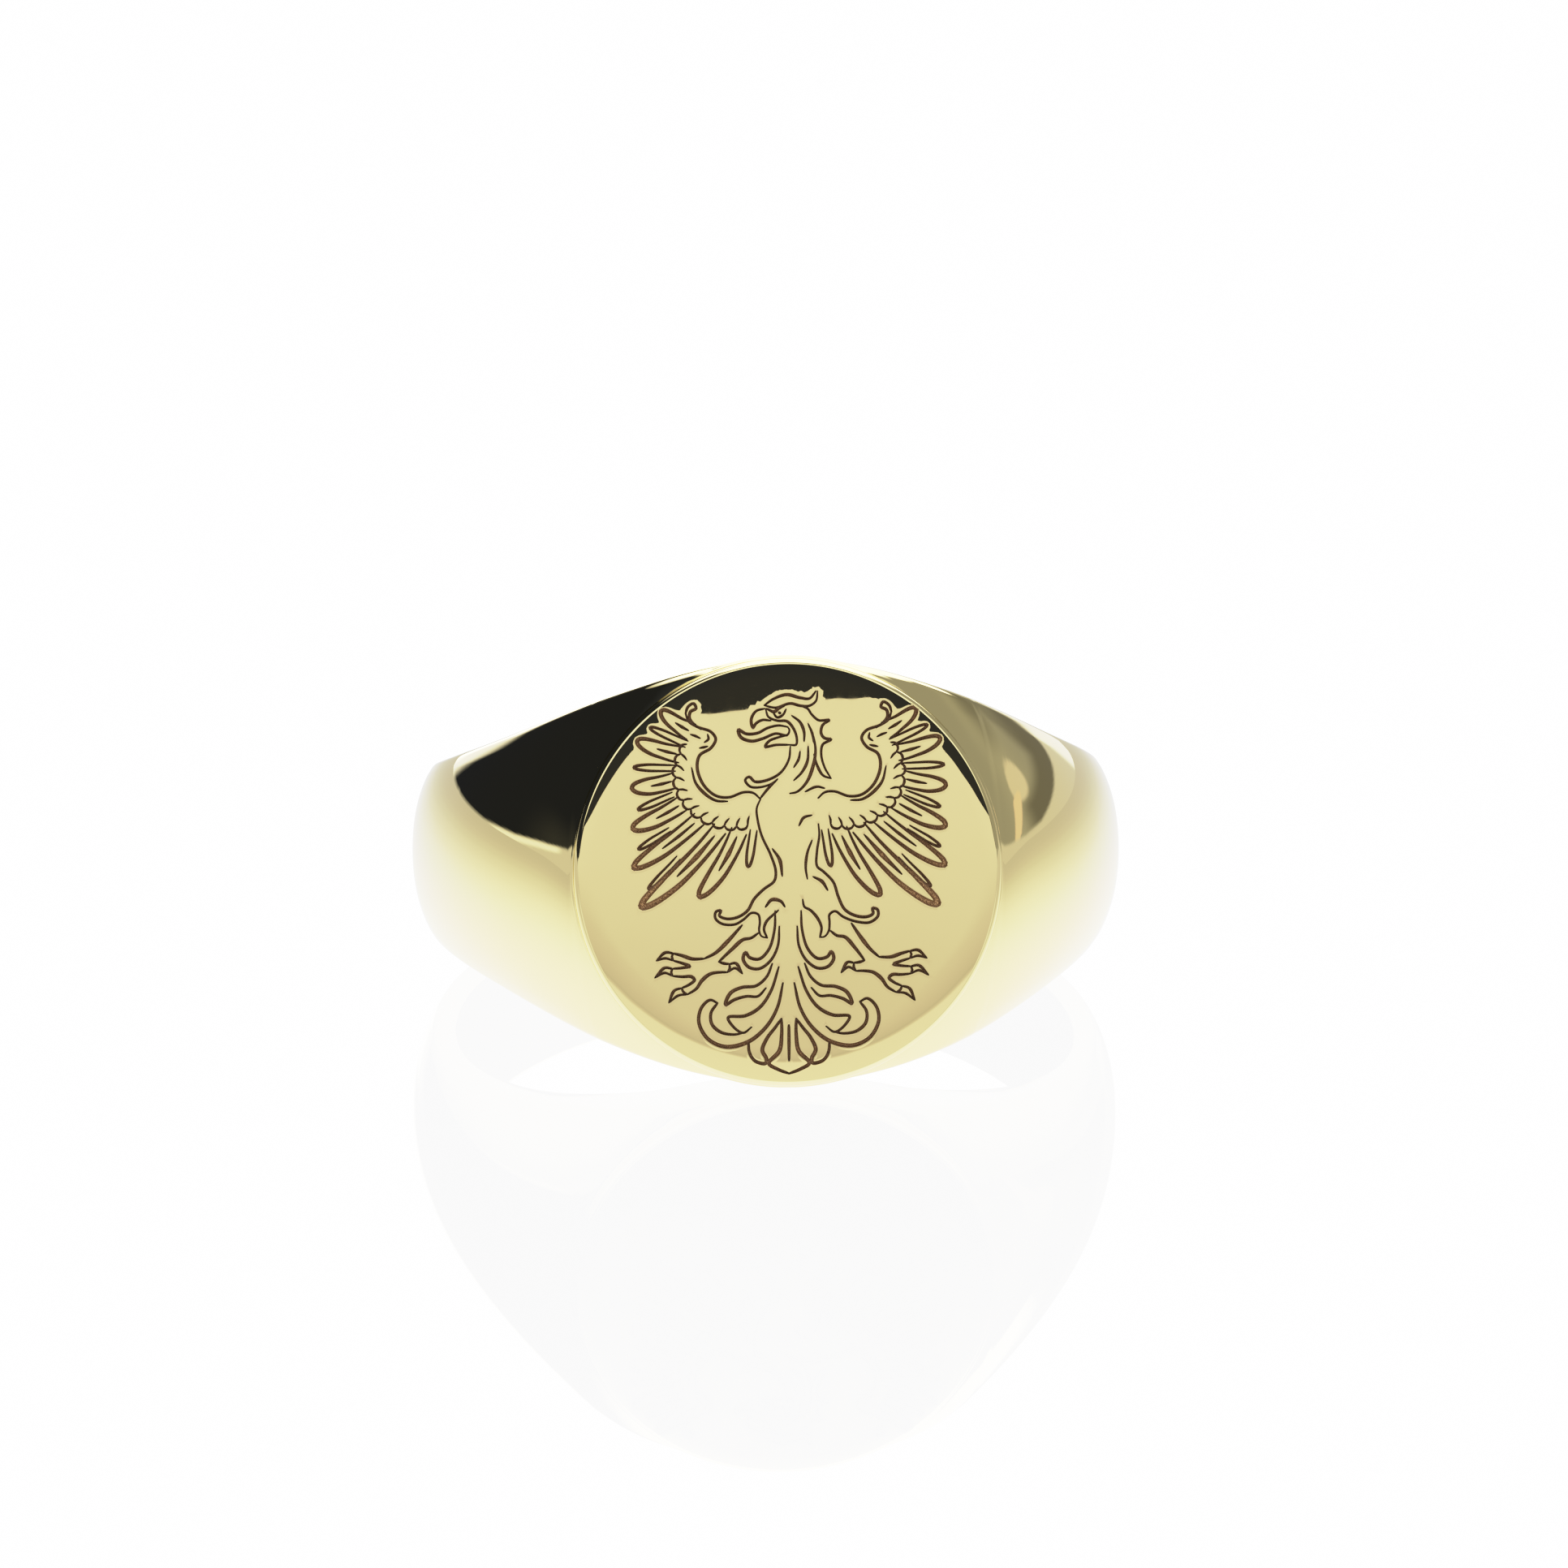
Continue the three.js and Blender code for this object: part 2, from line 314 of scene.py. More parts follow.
def wing():
    s = []
    # leading edge: from the breast out and up round the wrist to the hooked alula
    s.append(S([(-34, -92), (-42, -99), (-54, -100), (-72, -94), (-88, -96), (-103, -109), (-111, -130), (-108, -146),
                (-94, -155), (-88, -166), (-94, -175), (-110, -181), (-121, -188), (-125, -198)], (3.0, 4.0, 3.4)))
    s.append(S([(-125, -198), (-122, -206), (-115, -210), (-112, -204), (-119, -200), (-120, -192), (-114, -184), (-106, -178)], (3.4, 4.2, 2.6)))
    s.append(S([(-118, -131), (-113, -112), (-101, -98), (-88, -90), (-74, -89)], (2.2, 4.4, 2.6)))
    s.append(S([(-98, -172), (-97, -166), (-102, -162)], (2.4, 3.6, 2.4)))
    s.append(S([(-108, -155), (-103, -156), (-98, -157)], (2.4, 3.4, 2.4)))
    # covert tips
    s += scallops([(-124, -160), (-131, -148), (-136, -134), (-137, -119), (-134, -104), (-128, -91), (-119, -80),
                   (-107, -70), (-93, -63), (-78, -59), (-63, -58), (-49, -60)], 5.0, 10.0)
    s.append(S([(-119, -172), (-113, -170), (-107, -167)], (2.4, 3.4, 2.2)))
    # primaries and the slim feathers between them, from the top of the wing round to the tail side
    s += feather((-112, -184), (-124, -166), (-157, -198), 8.0, curl=0.32, rib=0.42)
    s += feather((-121, -163), (-127, -157), (-169, -181), 3.9, w=(2.4, 4.0, 2.4))
    s += feather((-127, -156), (-136, -138), (-186, -161), 8.6, curl=0.26, rib=0.45)
    s += feather((-137, -134), (-139, -127), (-189, -132), 3.9, w=(2.4, 4.2, 2.4))
    s += feather((-139, -125), (-138, -106), (-191, -103), 9.5, curl=0.24, rib=0.48)
    s += feather((-142, -101), (-140, -95), (-184, -80), 3.7, w=(2.4, 4.2, 2.4))
    s += feather((-135, -95), (-124, -79), (-189, -53), 9.2, w=(2.4, 6.4, 2.8), curl=0.22, rib=0.46)
    s += feather((-147, -57), (-144, -53), (-184, -31), 3.3, w=(2.4, 4.0, 2.4))
    s += feather((-116, -73), (-102, -62), (-187, -5), 9.0, w=(2.4, 6.6, 3.0), curl=0.18, rib=0.5)
    s += feather((-137, -22), (-133, -18), (-171, 19), 3.4, w=(2.4, 4.2, 2.4), curl=0.1)
    s += feather((-92, -58), (-75, -52), (-174, 46), 10.0, w=(2.8, 8.2, 3.2), curl=0.26, rib=0.5, ribw=(2.4, 6.6, 2.6))
    s += feather((-70, -52), (-50, -52), (-102, 32), 9.5, w=(2.6, 6.0, 3.0), curl=0.34, rib=0.5, ribw=(2.4, 5.8, 2.4))
    s += feather((-46, -54), (-38, -52), (-49, -8), 4.2, w=(2.4, 4.2, 2.6))
    return s


def claw(k0, k1, back0, back1, tip):
    """A hooked claw beyond a knuckle: its upper and lower edge and the knuckle's arc."""
    mid = ((k0[0] + k1[0]) / 2 + (back0[0] - k0[0]) * 0.18, (k0[1] + k1[1]) / 2 + (back0[1] - k0[1]) * 0.18)
    return [S([k0, back0, tip], (2.8, 4.2, 2.4)), S([k1, back1, tip], (2.4, 3.6, 2.2)), S([k0, mid, k1], (2.8, 3.4, 2.8))]


def foot():
    """Three toes spread from the ankle and one behind, left foot; ankle near (-106, 112)."""
    s = []
    s.append(S([(-104, 105), (-119, 105), (-131, 101), (-142, 98)], (3.0, 5.0, 3.0)))
    s.append(S([(-142, 107), (-132, 110), (-122, 114), (-131, 116), (-143, 117)], (2.8, 4.4, 2.8)))
    s.append(S([(-143, 126), (-131, 127), (-120, 127), (-116, 131), (-123, 137), (-132, 141)], (2.8, 4.4, 2.8)))
    s.append(S([(-125, 149), (-114, 142), (-107, 132), (-97, 124), (-86, 122), (-75, 122)], (2.8, 5.0, 2.8)))
    s.append(S([(-86, 109), (-80, 111), (-73, 112)], (2.8, 4.0, 2.8)))
    s += claw((-142, 98), (-142, 107), (-152, 97), (-152, 104), (-163, 107))
    s += claw((-143, 117), (-143, 126), (-153, 116), (-153, 122), (-165, 128))
    s += claw((-132, 141), (-125, 149), (-141, 144), (-136, 150), (-148, 159))
    s += claw((-73, 112), (-75, 122), (-65, 111), (-66, 117), (-57, 124))
    return s


def limb_left():
    s = []
    # flank down to the hooked thigh tuft
    s.append(S([(-33, -92), (-38, -80), (-37, -66), (-32, -46), (-21, -22), (-15, -2), (-17, 10), (-30, 20), (-42, 32), (-50, 46), (-62, 54), (-76, 56), (-85, 52), (-83, 46), (-89, 47),
                (-90, 55), (-82, 62), (-66, 63), (-55, 57), (-45, 49), (-37, 51), (-35, 60), (-36, 71), (-33, 78), (-26, 80)], (2.8, 3.8, 2.8)))
    s.append(S([(-26, 80), (-30, 70), (-27, 60), (-19, 52), (-12, 46)], (2.6, 3.8, 2.6)))
    s.append(S([(-19, -30), (-10, -16), (-7, 4)], (2.4, 4.8, 2.6)))
    s.append(S([(-28, 42), (-20, 33), (-9, 35), (-4, 42)], (2.6, 5.0, 2.6)))
    # shank of the leg
    s.append(S([(-57, 64), (-74, 83), (-90, 98), (-104, 105)], (3.0, 5.4, 3.0)))
    s.append(S([(-37, 74), (-46, 80), (-56, 82), (-70, 94), (-86, 109)], (3.0, 5.0, 3.0)))
    s += foot()
    return s


def limb_right():
    s = []
    s.append(S([(38, -60), (39, -46), (36, -26), (36, -8), (44, -1), (56, 12), (62, 30), (70, 46), (84, 54), (98, 55), (105, 51), (104, 45), (110, 46),
                (111, 54), (101, 62), (84, 61), (68, 55), (58, 48), (51, 52), (51, 62), (50, 72), (45, 79), (39, 80)], (2.8, 4.0, 2.8)))
    s.append(S([(39, 80), (41, 68), (36, 56), (27, 46), (20, 42), (18, 33)], (2.8, 4.0, 2.6)))
    s.append(S([(31, 5), (42, 11), (49, 22)], (2.4, 4.6, 2.6)))
    s.append(S([(78, 63), (90, 81), (101, 95), (112, 105)], (3.0, 5.4, 3.0)))
    s.append(S([(52, 72), (60, 78), (70, 80), (82, 93), (94, 109)], (3.0, 5.0, 3.0)))
    s += mirror(foot(), 8)
    return s


def tail():
    """Right half of the tail; the left half is its mirror."""
    s = []
    # first leaf, close beside the rump
    s.append(S([(16, 47), (17, 70), (24, 94), (36, 106), (48, 104), (53, 98), (56, 106), (49, 116), (36, 118), (22, 108), (13, 90), (11, 66)], (2.8, 4.4, 2.8)))
    # second leaf
    s.append(S([(20, 112), (27, 128), (40, 139), (58, 141), (72, 148), (78, 162), (67, 156), (52, 152), (38, 152), (28, 142)], (3.0, 4.8, 3.0)))
    # third leaf, its point turned up
    s.append(S([(12, 116), (22, 146), (36, 166), (54, 176), (75, 178), (66, 192), (56, 197), (46, 190)], (3.0, 4.6, 2.8)))
    # the great scroll
    s.append(S([(7, 136), (14, 166), (28, 190), (50, 208), (78, 214), (100, 204), (111, 184), (108, 166), (97, 156), (88, 160)], (3.2, 5.6, 3.6)))
    s.append(S([(88, 160), (96, 172), (95, 186), (84, 196), (68, 199), (56, 197)], (3.4, 4.4, 2.8)))
    # the small scroll below
    s.append(S([(50, 207), (49, 221), (42, 232), (29, 235), (28, 229), (33, 219), (27, 204), (17, 191), (9, 180)], (3.4, 5.2, 3.4)))
    # half of the spearhead
    s.append(S([(9, 180), (9, 200), (12, 220), (25, 235), (13, 243), (0, 248)], (3.4, 5.6, 3.6)))
    return s


def head():
    s = []
    # crest lying along the brow
    s.append(S([(-28, -207), (-16, -215), (0, -220), (16, -216), (28, -215), (36, -224)], (2.6, 4.6, 2.6)))
    s.append(S([(-28, -207), (-14, -204), (4, -209), (17, -206), (28, -206), (36, -212), (38, -224)], (2.6, 3.8, 2.4)))
    # brow and eye
    s.append(S([(-25, -203), (-16, -199), (-10, -203), (-2, -207)], (2.8, 4.6, 2.6)))
    s.append(S([(-17, -198), (-12, -192), (-5, -195), (-1, -202)], (2.4, 3.6, 2.4)))
    s.append(S([(-10, -198), (-8, -197)], (3.4, 3.6, 3.4)))
    # hooked bill, open, with the tongue between
    s.append(S([(-27, -203), (-38, -200), (-44, -190), (-42, -180), (-38, -185), (-30, -189), (-20, -188)], (2.6, 4.2, 2.8)))
    s.append(S([(-26, -202), (-23, -193), (-12, -188), (0, -187), (8, -178), (12, -166), (11, -158), (3, -158)], (2.6, 3.8, 2.6)))
    s.append(S([(1, -180), (-10, -182), (-24, -179), (-36, -173), (-50, -172), (-60, -177), (-57, -168), (-44, -163), (-30, -166), (-14, -172), (0, -170), (3, -176), (1, -180)], (2.8, 4.4, 2.8)))
    s.append(S([(0, -170), (-12, -167), (-22, -163), (-27, -156), (-14, -158), (3, -158)], (2.6, 3.8, 2.6)))
    # throat down to the forward curl of the ruff
    s.append(S([(4, -156), (2, -140), (-8, -124), (-24, -115), (-40, -113), (-47, -119), (-52, -115), (-46, -107), (-34, -106), (-20, -110), (-12, -116)], (2.6, 3.8, 2.4)))
    s.append(S([(-12, -116), (-24, -104), (-33, -93)], (2.4, 3.6, 2.8)))
    # nape with its pointed locks
    s.append(S([(17, -206), (26, -202), (30, -196), (39, -188), (52, -188), (44, -182), (42, -172), (46, -166), (54, -164), (44, -158), (42, -146), (46, -130), (54, -116)], (2.8, 3.8, 2.4)))
    s.append(S([(54, -116), (44, -120), (37, -132), (33, -146)], (2.4, 3.8, 2.4)))
    s.append(S([(33, -168), (35, -150), (32, -132), (24, -112), (12, -100), (3, -98)], (2.4, 4.6, 2.6)))
    # feathering of the neck
    s.append(S([(6, -194), (16, -186), (21, -174), (21, -162)], (2.4, 4.2, 2.4)))
    s.append(S([(26, -184), (31, -172), (33, -160)], (2.2, 3.6, 2.2)))
    s.append(S([(26, -156), (25, -138), (18, -124), (8, -114)], (2.4, 4.0, 2.4)))
    s.append(S([(16, -150), (14, -140), (8, -130)], (2.2, 3.6, 2.2)))
    # breast
    s.append(S([(14, -58), (20, -68), (30, -71)], (2.4, 4.0, 2.4)))
    s.append(S([(22, -100), (36, -106), (46, -104)], (2.4, 3.6, 2.4)))
    s.append(S([(30, -40), (24, -24), (22, -6), (24, 8)], (2.4, 3.8, 2.2)))
    return s


def charge():
    s = head() + wing() + mirror(wing(), 4.0) + limb_left() + limb_right() + tail() + mirror(tail())
    s.append(S([(0, 188), (0, 208), (0, 232)], (3.6, 4.2, 3.2)))
    return s


CHART = 1 / 40.6
LINE = 1.04  # overall weight of the graver's line
DEPTH = 0.095


def smooth_line(points, widths, step):
    """Centripetal Catmull-Rom through the points; returns the line and its half-width, millimetres."""
    P = np.array(points, float)
    if len(P) == 2:
        P = np.array([P[0], (P[0] + P[1]) / 2, P[1]])
    Q = np.vstack([2 * P[0] - P[1], P, 2 * P[-1] - P[-2]])
    out = []
    for i in range(1, len(Q) - 2):
        p = Q[i - 1:i + 3]
        t = [0.0]
        for k in range(3):
            t.append(t[-1] + max(np.hypot(*(p[k + 1] - p[k])), 1e-6) ** 0.5)
        n = max(2, int(np.hypot(*(p[2] - p[1])) / step))
        for u in np.linspace(t[1], t[2], n, endpoint=False):
            a = [(t[k + 1] - u) / (t[k + 1] - t[k]) * p[k] + (u - t[k]) / (t[k + 1] - t[k]) * p[k + 1] for k in range(3)]
            b = [(t[k + 2] - u) / (t[k + 2] - t[k]) * a[k] + (u - t[k]) / (t[k + 2] - t[k]) * a[k + 1] for k in range(2)]
            out.append((t[2] - u) / (t[2] - t[1]) * b[0] + (u - t[1]) / (t[2] - t[1]) * b[1])
    out.append(P[-1])
    L = np.array(out)
    f = np.linspace(0, 1, len(L))
    w = np.interp(f, [0, 0.5, 1], widths) * LINE
    w = w * (0.72 + 0.28 * np.clip(np.minimum(f, 1 - f) / 0.06, 0, 1))
    return L * np.array([CHART, -CHART]), w * CHART / 2


def engraving():
    """Outlines of the strokes, points to triangulate through, and a dense set of centre points."""
    rings, extra, dense, dense_h = [], [], [], []
    for pts, w in charge():
        L, h = smooth_line(pts, w, 1.9)
        T = np.gradient(L, axis=0)
        T /= np.maximum(np.hypot(T[:, 0], T[:, 1]), 1e-9)[:, None]
        N = np.stack([-T[:, 1], T[:, 0]], 1)
        hh = h[:, None]
        cap = []
        for c, t, n, r in ((L[-1], T[-1], N[-1], h[-1]), (L[0], -T[0], -N[0], h[0])):
            cap.append([c + n * r * math.cos(q) + t * r * math.sin(q) for q in (math.pi * 0.25, math.pi * 0.5, math.pi * 0.75)])
        rings.append(np.vstack([L + N * hh, cap[0], (L - N * hh)[::-1], cap[1]]))
        for f in (0.8, 0.5):
            extra.append(L + N * hh * f)
            extra.append(L - N * hh * f)
        extra.append(L)
        for f in (0.018, 0.045, 0.085):
            extra.append(L + N * (hh + f))
            extra.append(L - N * (hh + f))
        D, dh = smooth_line(pts, w, 0.42)
        dense.append(D)
        dense_h.append(dh)
    return rings, np.vstack(extra), np.vstack(dense), np.concatenate(dense_h)


def worn_field(dense, dense_h, at):
    """1 where the strokes crowd, 0 on the plain field, soft between."""
    cell, size = 0.025, 560
    grid = np.zeros((size, size))
    ij = np.clip(((dense / cell) + size / 2).astype(int), 0, size - 1)
    np.add.at(grid, (ij[:, 1], ij[:, 0]), 1.0)
    k = np.fft.fftfreq(size, cell) * 2 * math.pi
    kk = k[:, None] ** 2 + k[None, :] ** 2
    b = np.real(np.fft.ifft2(np.fft.fft2(grid) * np.exp(-kk * WORN_REACH**2 / 2)))
    alone = cell * 40.6 / 0.42 * cell / (WORN_REACH * math.sqrt(2 * math.pi))  # beside one long stroke
    b = np.clip((b / alone - 0.05) / 0.4, 0, 1)
    b = b * b * (3 - 2 * b)
    q = at / cell + size / 2 - 0.5
    i0 = np.clip(q.astype(int), 0, size - 2)
    f = np.clip(q - i0, 0, 1)
    return ((b[i0[:, 1], i0[:, 0]] * (1 - f[:, 0]) + b[i0[:, 1], i0[:, 0] + 1] * f[:, 0]) * (1 - f[:, 1])
            + (b[i0[:, 1] + 1, i0[:, 0]] * (1 - f[:, 0]) + b[i0[:, 1] + 1, i0[:, 0] + 1] * f[:, 0]) * f[:, 1])


def ripple(at, wavelength, seed):
    """Smooth random slopes of unit size."""
    rng = np.random.default_rng(seed)
    out = np.zeros((len(at), 2))
    for _ in range(14):
        t = rng.uniform(0, 2 * math.pi)
        k = 2 * math.pi / (wavelength * rng.uniform(0.7, 1.6))
        d = np.array([math.cos(t), math.sin(t)])
        out += np.cos(at @ d * k + rng.uniform(0, 2 * math.pi))[:, None] * d
    return out / math.sqrt(14)


WORN_REACH = 0.08  # millimetres that the buffing of the strokes spreads
WORN = 0.0012  # how far the worn field leans toward the chin of the table
BURR = 0.009  # slope of the turned-up edge beside a stroke
CROWN = 0.0006  # slope of the face per millimetre from its centre: a buffed face is never quite flat
# from some way in from the rim the face falls away: where that starts and how fast the slope grows
# per millimetre, at the chin of the table and above its middle
ROLL_CHIN, ROLL_TOP = (5.28, 0.030), (5.93, 0.075)


def build_plate():
    flat_r = TABLE_R - PLATE_EDGE
    rings, extra, dense, dense_h = engraving()
    pts, edges = [], []
    around = 360
    th = np.arange(around) / around * 2 * math.pi
    rim = np.stack([flat_r * np.cos(th), flat_r * np.sin(th)], 1)
    loops = [rim] + rings
    for r in loops:
        b = len(pts)
        pts += [tuple(p) for p in r]
        edges += [(b + i, b + (i + 1) % len(r)) for i in range(len(r))]
    pts += [tuple(p) for p in extra if np.hypot(*p) < flat_r - 0.05]
    g = np.arange(-6.4, 6.41, 0.16)
    gx, gy = np.meshgrid(g, g)
    gx = gx + (np.arange(len(g)) % 2)[:, None] * 0.08
    q = np.stack([gx.ravel(), gy.ravel()], 1)
    pts += [tuple(p) for p in q if np.hypot(*p) < flat_r - 0.06]
    for r in np.arange(ROLL_CHIN[0], flat_r - 0.03, 0.06):
        pts += [(r * math.cos(t + r * 9), r * math.sin(t + r * 9)) for t in th[::2]]
    v2, _, f2, *_ = delaunay_2d_cdt([Vector(p) for p in pts], edges, [], 0, 1e-5, False)
    P = np.array([(v.x, v.y) for v in v2])
    R = np.hypot(P[:, 0], P[:, 1])

    from mathutils.kdtree import KDTree
    kd = KDTree(len(dense))
    for i, p in enumerate(dense):
        kd.insert((p[0], p[1], 0), i)
    kd.balance()
    reach = float(dense_h.max()) * 1.05

    def across(p):
        """0 on a stroke's centre, 1 at its edge, larger outside it."""
        u, broad = 9.0, 0.0
        for _, i, d in kd.find_range((p[0], p[1], 0), reach):
            if d / dense_h[i] < u:
                u, broad = d / dense_h[i], dense_h[i]
        return u, broad

    def beside(p):
        """Slope of the burr at a point outside the strokes."""
        best, away = 9.0, None
        for _, i, d in kd.find_range((p[0], p[1], 0), reach + 0.09):
            if d - dense_h[i] < best:
                best, away = d - dense_h[i], (p - dense[i]) / max(d, 1e-6)
        if best > 0.09:
            return (0.0, 0.0)
        return away * float(np.interp(best, [0, 0.018, 0.03, 0.045, 0.085], [2.2, 0.6, -0.8, -1.0, 0.0]))

    U, broad = (np.array(q) for q in zip(*(across(p) for p in P)))
    wall = np.interp(U, [0, 0.5, 0.8, 0.995], [-DEPTH, -DEPTH * 0.94, -DEPTH * 0.3, 0.0])
    high = np.clip((P[:, 1] / np.maximum(R, 1e-9) + 0.75) / 0.85, 0, 1)
    high = high * high * (3 - 2 * high)
    start, rate = (ROLL_CHIN[i] * (1 - high) + ROLL_TOP[i] * high for i in (0, 1))
    roll = np.sqrt(np.maximum(R - start, 0) ** 2 + 0.0036) - 0.06  # starts softly
    crown = -CROWN * R**2 / 2 - rate * roll**2 / 2
    z = crown + np.where(U < 0.995, wall, 0)
    radial = -(CROWN * R + rate * roll)[:, None] * P / np.maximum(R, 1e-9)[:, None]
    radial += ripple(P, 1.1, 5) * 0.00016 + ripple(P, 4.0, 9) * 0.0004
    # the field among the strokes in the upper half was buffed back to one plane
    m = worn_field(dense, dense_h, P) * np.clip((P[:, 1] + 1.0) / 1.5, 0, 1)
    slope = radial * (1 - m)[:, None]
    slope[:, 1] += WORN * m
    burr = np.array([beside(p) if u >= 0.995 else (0.0, 0.0) for p, u in zip(P, U)]) * BURR
    burr[:, 1] = np.maximum(burr[:, 1], 0.0)
    slope += burr
    N = np.stack([-slope[:, 0], -np.ones(len(P)), -slope[:, 1]], 1)
    N /= np.linalg.norm(N, axis=1)[:, None]

    verts = [(p[0], -(TABLE_Y + h), p[1]) for p, h in zip(P, z)]
    faces, mats = [], []
    for f in f2:
        c = P[list(f)].mean(0)
        if np.hypot(*c) > flat_r:
            continue
        a, b, d = (P[f[0]], P[f[1]], P[f[2]])
        turn = (b[0] - a[0]) * (d[1] - a[1]) - (b[1] - a[1]) * (d[0] - a[0])
        faces.append(tuple(f) if turn > 0 else tuple(reversed(f)))
        mats.append(0 if across(c)[0] >= 0.97 else 1)
    edge_r = [i for i in range(len(P)) if abs(R[i] - flat_r) < 1e-4]
    edge_r.sort(key=lambda i: math.atan2(P[i, 1], P[i, 0]) % (2 * math.pi))
    # softened edge, wall and underside, one ring at a time
    n = 9
    prof = [(flat_r + PLATE_EDGE * math.sin(t), 1 - math.cos(t)) for t in np.linspace(0, math.pi / 2, n)[1:]]
    prof += [(TABLE_R, None), (TABLE_R - 0.02, None)]
    prev = edge_r
    for r, share in prof:
        row = list(range(len(verts), len(verts) + len(edge_r)))
        for i in edge_r:
            t, drop = math.atan2(P[i, 1], P[i, 0]), float(-crown[i])
            if share is None:
                h = TABLE_Y - PLATE_T + (0.02 if r == TABLE_R else 0.0)
            else:
                h = TABLE_Y - drop - (PLATE_EDGE - drop) * share
            verts.append((r * math.cos(t), -h, r * math.sin(t)))
        for k in range(len(row)):
            k2 = (k + 1) % len(row)
            faces.append((prev[k], row[k], row[k2], prev[k2]))
            mats.append(2)
        prev = row
    faces.append(tuple(reversed(prev)))
    mats.append(2)
    ob = mesh_object("table_plate", verts, faces)
    me = ob.data
    me.polygons.foreach_set("material_index", mats)
    rot = TO_ROW.to_3x3().normalized()
    nn = np.zeros((len(verts), 3), np.float32)
    nn[:, 1] = -1
    nn[:len(P)] = N
    M = np.array(rot)
    nn = nn @ M.T
    at = me.attributes.new("polish", "FLOAT_VECTOR", "POINT")
    at.data.foreach_set("vector", nn.astype(np.float32).ravel())
    # painted glints for the cut's colour: more bright specks and a lighter floor where a stroke is broad
    painted_glint_mask = np.zeros(len(verts), np.float32)
    painted_glint_mask[:len(P)] = np.clip((broad - 0.036) / 0.05, 0, 1) * np.clip(1.25 - U, 0, 1)
    at = me.attributes.new("painted_cut_glint", "FLOAT", "POINT")
    at.data.foreach_set("value", painted_glint_mask)
    return ob


def stroke_metal(name):
    """The cut of the graver, darkened and left rough: real brown oxide, with painted glints as bright orange specks,
    more of them and a lighter floor where the cut is broad.
    """
    m, t, b = new_material(name)
    co = node(t, "ShaderNodeTexCoord")
    n1 = node(t, "ShaderNodeTexNoise", Scale=26000.0, Detail=2.0, Roughness=0.6)
    t.links.new(co.outputs["Object"], n1.inputs["Vector"])
    glint_node = node(t, "ShaderNodeAttribute", attribute_name="painted_cut_glint")
    # painted glint specks drawn from the fine noise
    glint_specks = node(t, "ShaderNodeMapRange")
    for k, v in (("From Min", 0.36), ("From Max", 0.66), ("To Min", 0.0), ("To Max", 0.30)):
        glint_specks.inputs[k].default_value = v
    t.links.new(n1.outputs["Fac"], glint_specks.inputs["Value"])
    strong = node(t, "ShaderNodeMath", operation="MULTIPLY_ADD")
    t.links.new(glint_node.outputs["Fac"], strong.inputs[0])
    strong.inputs[1].default_value = 1.1
    strong.inputs[2].default_value = 0.22
    spread = node(t, "ShaderNodeMath", operation="MULTIPLY")
    t.links.new(glint_specks.outputs["Result"], spread.inputs[0])
    t.links.new(strong.outputs["Value"], spread.inputs[1])
    fac = node(t, "ShaderNodeMath", operation="MULTIPLY_ADD")
    t.links.new(glint_node.outputs["Fac"], fac.inputs[0])
    fac.inputs[1].default_value = 0.15
    t.links.new(spread.outputs["Value"], fac.inputs[2])
    # the ramp runs from the real dark oxide to the painted glint colour
    ramp = node(t, "ShaderNodeValToRGB")
    el = ramp.color_ramp.elements
    el[0].position, el[0].color = 0.0, (0.068, 0.031, 0.011, 1)
    el[1].position, el[1].color = 0.62, (0.62, 0.37, 0.16, 1)
    mid = el.new(0.26)
    mid.color = (0.17, 0.082, 0.028, 1)
    t.links.new(fac.outputs["Value"], ramp.inputs["Fac"])
    t.links.new(ramp.outputs["Color"], b.inputs["Base Color"])
    b.inputs["Roughness"].default_value = 0.62
    b.inputs["Metallic"].default_value = 0.25
    bump = node(t, "ShaderNodeBump", Strength=0.5, Distance=0.00001)
    t.links.new(n1.outputs["Fac"], bump.inputs["Height"])
    t.links.new(bump.outputs["Normal"], b.inputs["Normal"])
    return m


def build_solder():
    y0 = SEAT_Y + GAP
    prof = [(0, y0), (TABLE_R - 0.05, y0), (TABLE_R - 0.03, y0 + SOLDER_T / 2), (TABLE_R - 0.05, y0 + SOLDER_T), (0, y0 + SOLDER_T)]
    v, f = lathe_about_table(prof, 192)
    return mesh_object("solder_line", v, f)


shank = build_shank()
shank.data.materials.append(gold("gold_shank"))
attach(shank, "root"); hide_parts("shank")
plate = build_plate()
for _m in (gold("gold_plate", face_normal=True), stroke_metal("graver_cut"), gold("gold_plate_edge")):
    plate.data.materials.append(_m)
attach(plate, "root"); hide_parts("signet_plate")
solder = build_solder()
solder.data.materials.append(gold("solder_metal"))
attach(solder, "root"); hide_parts("solder_seam")


# ------------------------------------------------------------------ floor, cards and light
def painted(name):
    """A card that glows with the colour painted on its corners."""
    m = bpy.data.materials.new(name)
    m.use_nodes = True
    t = m.node_tree
    t.nodes.clear()
    out = node(t, "ShaderNodeOutputMaterial")
    e = node(t, "ShaderNodeEmission", Strength=1.0)
    at = node(t, "ShaderNodeAttribute", attribute_name="glow")
    t.links.new(at.outputs["Color"], e.inputs["Color"])
    t.links.new(e.outputs["Emission"], out.inputs["Surface"])
    return m


def ramp01(x, a, b):
    t = min(max((x - a) / (b - a), 0.0), 1.0)
    return t * t * (3 - 2 * t)


def card(name, verts, faces, colours, material):
    me = bpy.data.meshes.new(name)
    me.from_pydata(verts, [], faces)
    ob = bpy.data.objects.new(name, me)
    bpy.context.scene.collection.objects.link(ob)
    me.materials.append(material)
    at = me.attributes.new("glow", "FLOAT_COLOR", "POINT")
    at.data.foreach_set("color", [x for c in colours for x in (*c, 1.0)])
    ob.visible_camera = False
    ob.visible_shadow = False
    return ob


